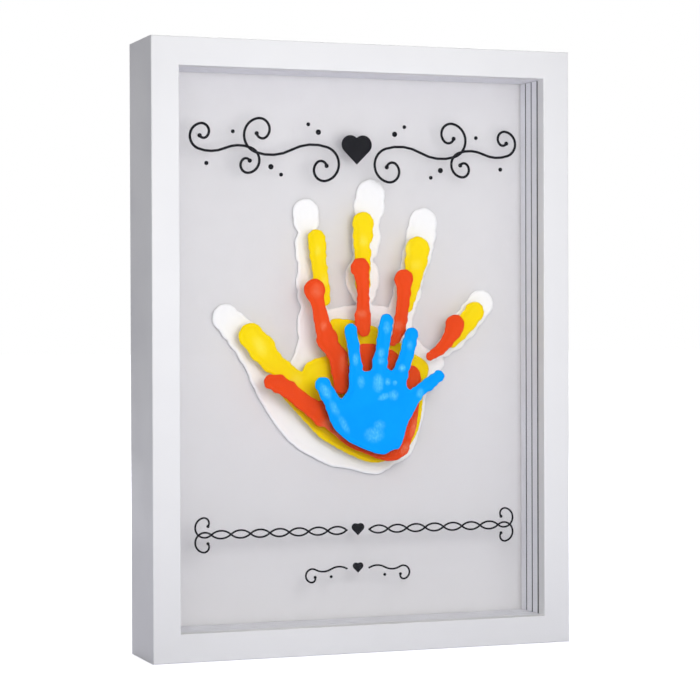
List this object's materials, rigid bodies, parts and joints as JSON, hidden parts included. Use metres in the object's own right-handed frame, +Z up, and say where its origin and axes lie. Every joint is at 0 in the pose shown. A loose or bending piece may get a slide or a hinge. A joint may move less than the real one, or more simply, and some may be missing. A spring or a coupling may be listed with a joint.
{
  "type": "handprint frame",
  "caption": "Deep white box frame that shows painted handprints on clear panes, held apart by strips, with turn buttons and a hanger on the back.",
  "frame": {"origin": "middle of the footprint, on the frame's bottom edge; the depth is centred on frame and wall bumpers", "axes": "+Z up; the front faces -Y and the back +Y; +X to the right as seen from the front"},
  "size_m": [0.292, 0.058, 0.4],
  "materials": {
    "rail": "white satin lacquer",
    "spacer": "white foamed PVC, matt",
    "pane": "clear cast acrylic, polished",
    "blue_paint": "dried acrylic paint",
    "red_paint": "dried acrylic paint",
    "yellow_paint": "dried acrylic paint",
    "white_paint": "dried acrylic paint",
    "vinyl": "raised black vinyl",
    "card": "pale grey-white mount card",
    "foam": "open-cell foam pad",
    "board": "brown hardboard",
    "zinc": "zinc-plated steel",
    "screw": "zinc-plated steel",
    "steel": "plain steel",
    "bumper": "clear soft polyurethane"
  },
  "bodies": {
    "frame": {"rail_top": "rail", "rail_bottom": "rail", "rail_left": "rail", "rail_right": "rail", "corner_v_nails": "steel", "pane_1": "pane", "pane_2": "pane", "pane_3": "pane", "pane_4": "pane", "print_blue": "blue_paint", "print_red": "red_paint", "print_yellow": "yellow_paint", "print_white": "white_paint", "ornament_title": "vinyl", "ornament_line": "vinyl", "ornament_foot": "vinyl", "spacer_1_top": "spacer", "spacer_1_bottom": "spacer", "spacer_1_left": "spacer", "spacer_1_right": "spacer", "spacer_2_top": "spacer", "spacer_2_bottom": "spacer", "spacer_2_left": "spacer", "spacer_2_right": "spacer", "spacer_3_top": "spacer", "spacer_3_bottom": "spacer", "spacer_3_left": "spacer", "spacer_3_right": "spacer", "background_card": "card", "filler_pad": "foam", "backing_board": "board", "turn_button_screws": "screw", "sawtooth_hanger": "zinc", "hanger_nails": "screw", "wall_bumpers": "bumper"},
    "button_top_left": {"turn_button_top_left": "zinc"},
    "button_top_right": {"turn_button_top_right": "zinc"},
    "button_bottom_left": {"turn_button_bottom_left": "zinc"},
    "button_bottom_right": {"turn_button_bottom_right": "zinc"},
    "button_left_high": {"turn_button_left_high": "zinc"},
    "button_left_low": {"turn_button_left_low": "zinc"},
    "button_right_high": {"turn_button_right_high": "zinc"},
    "button_right_low": {"turn_button_right_low": "zinc"}
  },
  "joints": [
    {"name": "top_left_turn", "type": "hinge", "parent": "frame", "child": "button_top_left", "pos_m": [-0.0876, 0.025, 0.394], "axis": [0, 1, 0], "continuous": true},
    {"name": "top_right_turn", "type": "hinge", "parent": "frame", "child": "button_top_right", "pos_m": [0.0876, 0.025, 0.394], "axis": [0, 1, 0], "continuous": true},
    {"name": "bottom_left_turn", "type": "hinge", "parent": "frame", "child": "button_bottom_left", "pos_m": [-0.0876, 0.025, 0.006], "axis": [0, 1, 0], "continuous": true},
    {"name": "bottom_right_turn", "type": "hinge", "parent": "frame", "child": "button_bottom_right", "pos_m": [0.0876, 0.025, 0.006], "axis": [0, 1, 0], "continuous": true},
    {"name": "left_high_turn", "type": "hinge", "parent": "frame", "child": "button_left_high", "pos_m": [-0.14, 0.025, 0.312], "axis": [0, 1, 0], "continuous": true},
    {"name": "left_low_turn", "type": "hinge", "parent": "frame", "child": "button_left_low", "pos_m": [-0.14, 0.025, 0.088], "axis": [0, 1, 0], "continuous": true},
    {"name": "right_high_turn", "type": "hinge", "parent": "frame", "child": "button_right_high", "pos_m": [0.14, 0.025, 0.312], "axis": [0, 1, 0], "continuous": true},
    {"name": "right_low_turn", "type": "hinge", "parent": "frame", "child": "button_right_low", "pos_m": [0.14, 0.025, 0.088], "axis": [0, 1, 0], "continuous": true}
  ]
}
